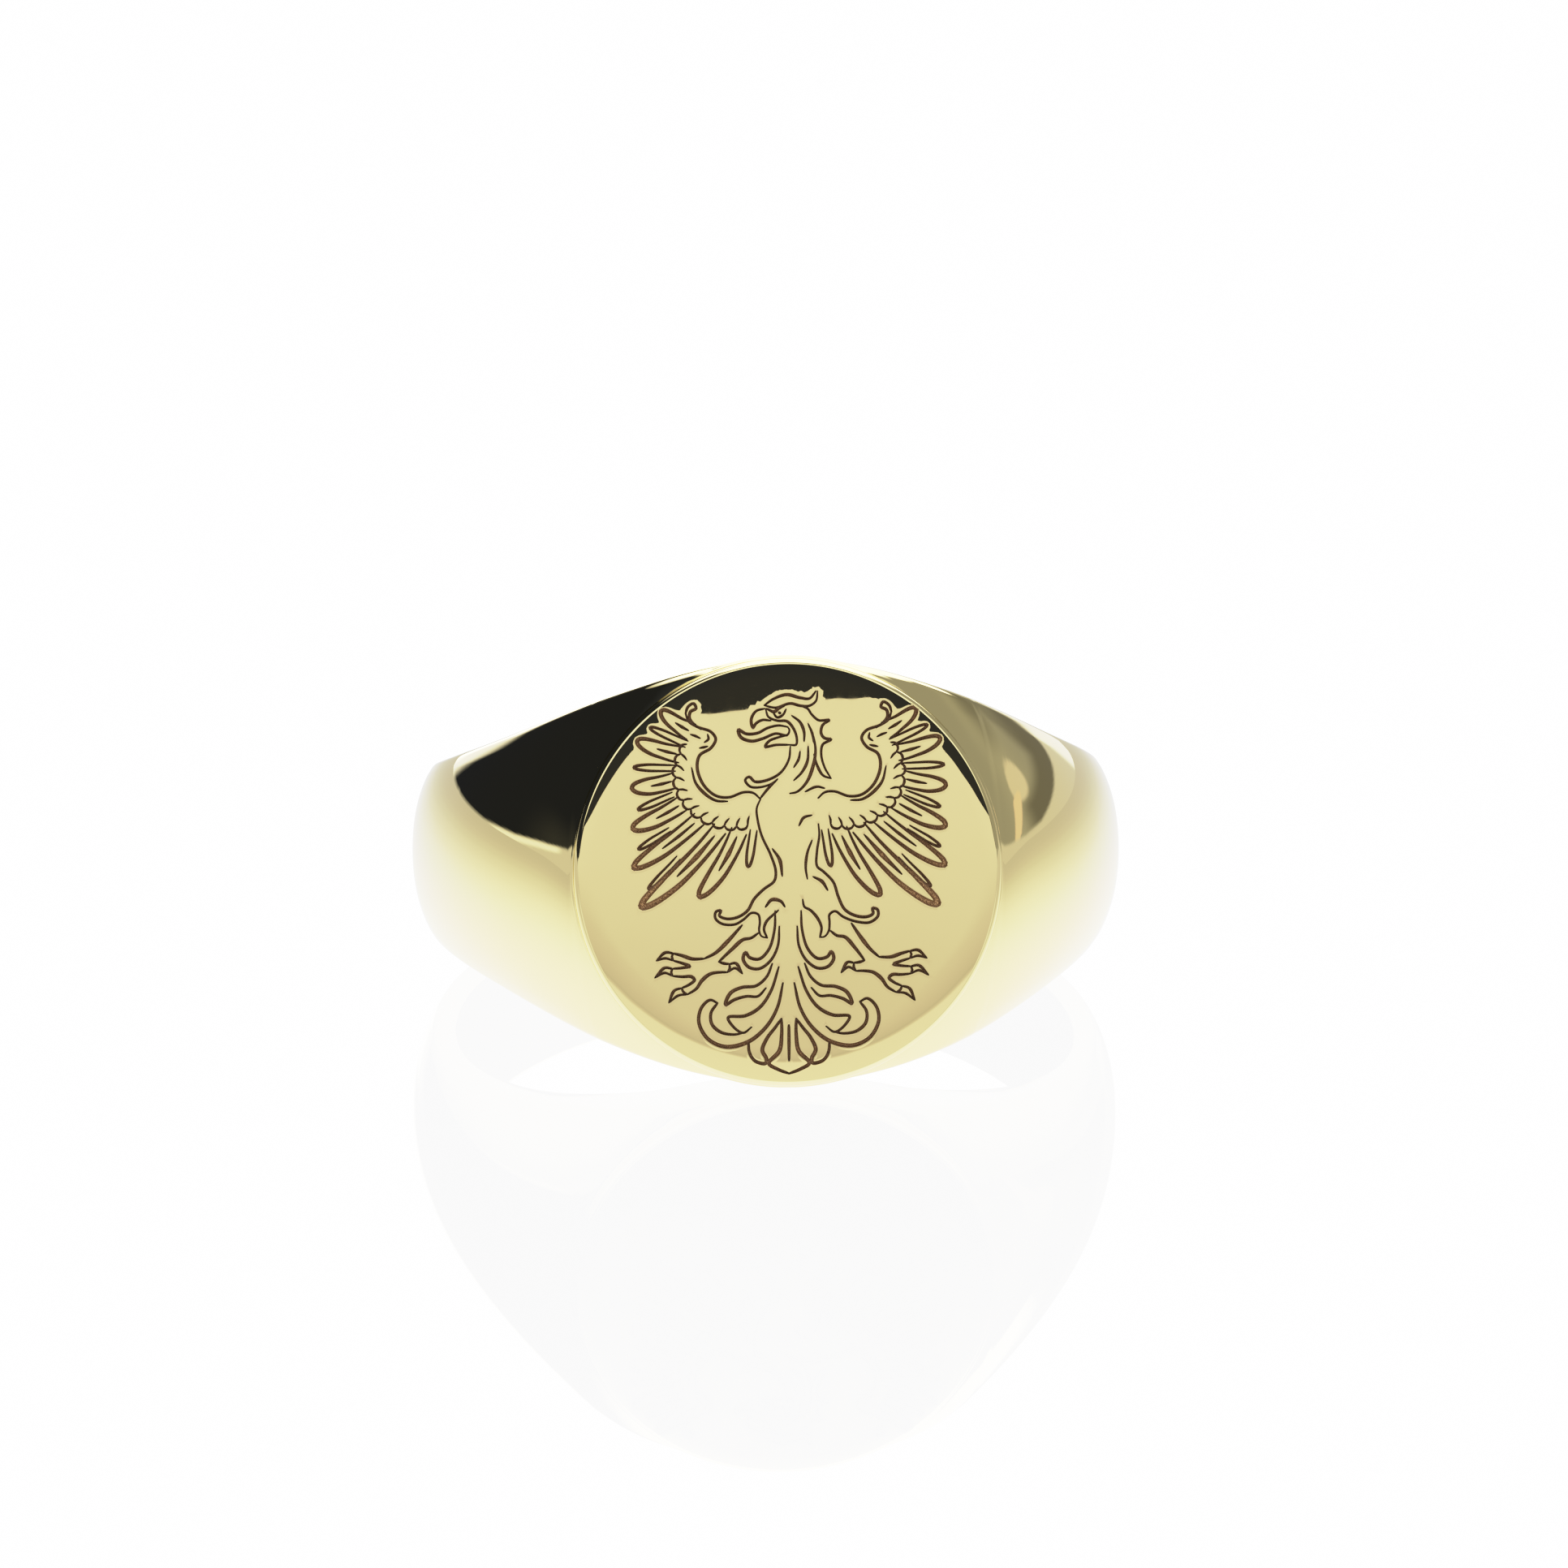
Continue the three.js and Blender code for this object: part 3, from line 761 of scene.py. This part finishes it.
def sphere_card(name, azs, els, radius, colour, material):
    """Part of a sphere round the ring. Azimuth 0 is in front (-Y), positive to +X; degrees."""
    verts, cols, faces = [], [], []
    nx = len(azs)
    for e in els:
        for a in azs:
            ra, re = math.radians(a), math.radians(e)
            verts.append((radius * math.cos(re) * math.sin(ra), -radius * math.cos(re) * math.cos(ra), radius * math.sin(re) + 0.006))
            cols.append(colour(a, e))
    for j in range(len(els) - 1):
        for i in range(nx - 1):
            a = j * nx + i
            faces.append((a, a + 1, a + nx + 1, a + nx))
    return card(name, verts, faces, cols, material)


SKY = 3.9


def mix(a, b, t):
    return tuple(x * (1 - t) + y * t for x, y in zip(a, b))


def studio(a, e):
    """What hangs round the ring: dark flats in front and to the left, grey ones to the right."""
    white, low = (SKY,) * 3, (0.80, 0.80, 0.80)
    black = mix((0.016, 0.018, 0.028), (0.027, 0.031, 0.050), ramp01(a, -40, -14))
    black = mix(black, (0.040, 0.042, 0.050), ramp01(a, -112, -84) * (1 - ramp01(e, 4, 14)))
    grey = mix((0.40, 0.40, 0.40), (0.48, 0.48, 0.47), math.exp(-((a - 106) / 14.0) ** 2))
    edge = float(np.interp(a, [-157, -128, -110, -90, -74, -40, -26, -22, 26, 30, 60, 84, 100, 112, 120, 134, 146, 152],
                           [0, 0, 1.0, 3.2, 5.6, 8.0, 8.2, 7.6, 7.6, 7.8, 7.0, 3.0, 1.2, 1.4, 2.6, 5.0, 6.4, 7.0]))
    band = ramp01(a, 98, 112) * (1 - ramp01(e, edge + 4.0, edge + 8.5))
    band = max(band, ramp01(a, 127, 137) * (1 - 0.4 * ramp01(e, 10, 16)), ramp01(e, 17, 24) * ramp01(a, 90, 130) * 0.8)
    grey = mix(grey, (0.195, 0.19, 0.185), band)
    g = math.exp(-((a - 108.5) / 10.0) ** 2 - ((e - 12.5) / 5.4) ** 2)
    grey = mix(grey, (0.84, 0.80, 0.76), ramp01(g, 0.38, 0.58))
    axis = 93.0 + (e - 2.0) * 1.2
    g = math.exp(-((a - axis) / (3.6 + 0.25 * e)) ** 2) * ramp01(e, 1.0, 2.5) * (1 - ramp01(e, 9.5, 12))
    grey = mix(grey, (1.00, 0.83, 0.72), ramp01(g, 0.4, 0.62))
    c = mix(black, grey, ramp01(a, 8, 20))
    c = mix(c, (1.6, 1.6, 1.58), ramp01(a, -27, -23) * (1 - ramp01(a, 20, 26)) * ramp01(e, 12.4, 13.2) * (1 - ramp01(e, 29, 31)))
    strip = mix(low, (1.35, 1.35, 1.35), ramp01(a, -126, -118) * (1 - ramp01(a, -84, -76)) * ramp01(e, edge - 1.9, edge - 1.1))
    c = mix(strip, c, ramp01(e, edge - 0.5, edge + 0.5))
    side = mix((1.7, 1.7, 1.7), (0.10, 0.10, 0.10), ramp01(e, 9, 14) * (1 - ramp01(-a, 171, 174)) * ramp01(-a, 150, 157))
    side = mix(side, white, ramp01(-a, 160, 165) * (1 - ramp01(e, 11, 13) * (1 - ramp01(-a, 170, 173))))
    if a > 0:
        side = mix((1.7, 1.7, 1.7), (0.60, 0.60, 0.58), ramp01(e, 5, 9))
    side = mix(side, white, ramp01(abs(a), 165, 172) * ramp01(e, 6, 9))
    c = mix(c, side, max(ramp01(a, 147.5, 151), ramp01(-a, 152, 159)))
    top = float(np.interp(a, [-160, -22, -10, 28, 40, 112, 124], [58, 58, 42, 42, 54, 54, 29]))
    return mix(c, white, ramp01(e, top, top + 5))


glow = painted("card_glow")
sphere_card("studio_flats", list(np.arange(-180, 181, 1.0)), [-2] + list(np.arange(-0.5, 14, 0.5)) + [15, 16, 17, 18, 20, 22, 24, 27, 30, 32, 34, 36, 39, 44, 49, 54, 60, 70],
            1.5, studio, glow)


def front(a, e):
    v = float(np.interp(e, [0, 5.15, 5.3, 5.5, 6.2, 6.9, 7.9, 8.5, 9.1], [1.16, 1.08, 0.64, 0.72, 0.78, 0.83, 0.98, 1.03, 1.02]))
    return (v, v, v)


sphere_card("front_card", list(np.arange(-24, 25, 4.0)), [-2] + list(np.arange(0, 8.8, 0.15)) + [8.88], 1.2, front, glow)

world = bpy.data.worlds.new("studio")
bpy.context.scene.world = world
world.use_nodes = True
world.node_tree.nodes["Background"].inputs["Color"].default_value = (1, 1, 1, 1)
world.node_tree.nodes["Background"].inputs["Strength"].default_value = SKY

# what the metal sees of the table it lies on, a glowing card with a painted pool of light: bright close by, falling off
# with distance
fv, fc, ff = [(0, 0, -0.0004)], [(1.9,) * 3], []
radii = [0.008, 0.014, 0.02, 0.028, 0.038, 0.05, 0.07, 0.1, 0.15, 0.25, 0.5, 1.0, 1.6]
for r in radii:
    for k in range(48):
        t = 2 * math.pi * k / 48
        fv.append((r * math.cos(t), r * math.sin(t), -0.0004))
        fc.append((0.72 + 1.25 / (1 + (r / 0.032) ** 2.4),) * 3)
for k in range(48):
    ff.append((0, 1 + k, 1 + (k + 1) % 48))
for j in range(len(radii) - 1):
    for k in range(48):
        a, b = 1 + j * 48, 1 + (j + 1) * 48
        ff.append((a + k, b + k, b + (k + 1) % 48, a + (k + 1) % 48))
card("table_glow", fv, ff, fc, glow)

fm = bpy.data.materials.new("floor_acrylic")
fm.use_nodes = True
ft = fm.node_tree
ft.nodes.clear()
fo = node(ft, "ShaderNodeOutputMaterial")
fe = node(ft, "ShaderNodeEmission", Strength=1.85 / 0.7)
fg = node(ft, "ShaderNodeBsdfGlossy", Roughness=0.003)
fmix = node(ft, "ShaderNodeMixShader", Fac=0.3)
ft.links.new(fe.outputs["Emission"], fmix.inputs[1])
ft.links.new(fg.outputs["BSDF"], fmix.inputs[2])
ft.links.new(fmix.outputs["Shader"], fo.inputs["Surface"])
bpy.ops.mesh.primitive_plane_add(size=8, location=(0, 0, 0))
floor = bpy.context.object
floor.name = "floor"
floor.data.materials.append(fm)
floor.visible_glossy = False

# ------------------------------------------------------------------ camera
CAM_AZ, CAM_ABOVE_FACE, CAM_DIST, FRAME_SCALE, ROLL = -3.5, 3.8, 0.6, 40.6, 0.35
cam_data = bpy.data.cameras.new("camera")
cam = bpy.data.objects.new("camera", cam_data)
bpy.context.scene.collection.objects.link(cam)
bpy.context.scene.camera = cam
cam_data.sensor_width = 36
cam_data.lens = FRAME_SCALE * 1000 * CAM_DIST / 1932 * 36
cam_data.clip_start, cam_data.clip_end = 0.01, 20
az, el = math.radians(CAM_AZ), TILT + math.radians(CAM_ABOVE_FACE)
fwd = Vector((-math.sin(az) * math.cos(el), math.cos(az) * math.cos(el), -math.sin(el)))
right = Vector((math.cos(az), math.sin(az), 0))
up = right.cross(fwd)
face = TO_ROW @ Vector((0, -TABLE_Y, 0))
cam.location = face - fwd * CAM_DIST
ox, oy = (971.5 - 966) / FRAME_SCALE / 1000, (1075.5 - 966) / FRAME_SCALE / 1000
aim = (face + up * oy - right * ox - cam.location).normalized()
r2 = aim.cross(up).normalized()
u2 = r2.cross(aim)
roll = math.radians(ROLL)
r3 = r2 * math.cos(roll) + u2 * math.sin(roll)
u3 = r3.cross(aim)
cam.matrix_world = Matrix.Translation(cam.location) @ Matrix((r3, u3, -aim)).transposed().to_4x4()

vs = bpy.context.scene.view_settings
vs.view_transform = "Standard"
vs.look = "None"
vs.use_curve_mapping = True
cm = vs.curve_mapping
cm.white_level = (3.0, 3.0, 3.0)
c = cm.curves[3]
pts = [(0, 0), (0.2, 0.2), (0.5, 0.5), (0.72, 0.7), (1.0, 0.82), (1.3, 0.875), (1.6, 0.925), (2.2, 0.975), (3.0, 1.0)]
c.points[0].location = (0, 0)
c.points[1].location = (1, 1)
for x, y in pts[1:-1]:
    c.points.new(x / 3.0, y)
cm.update()
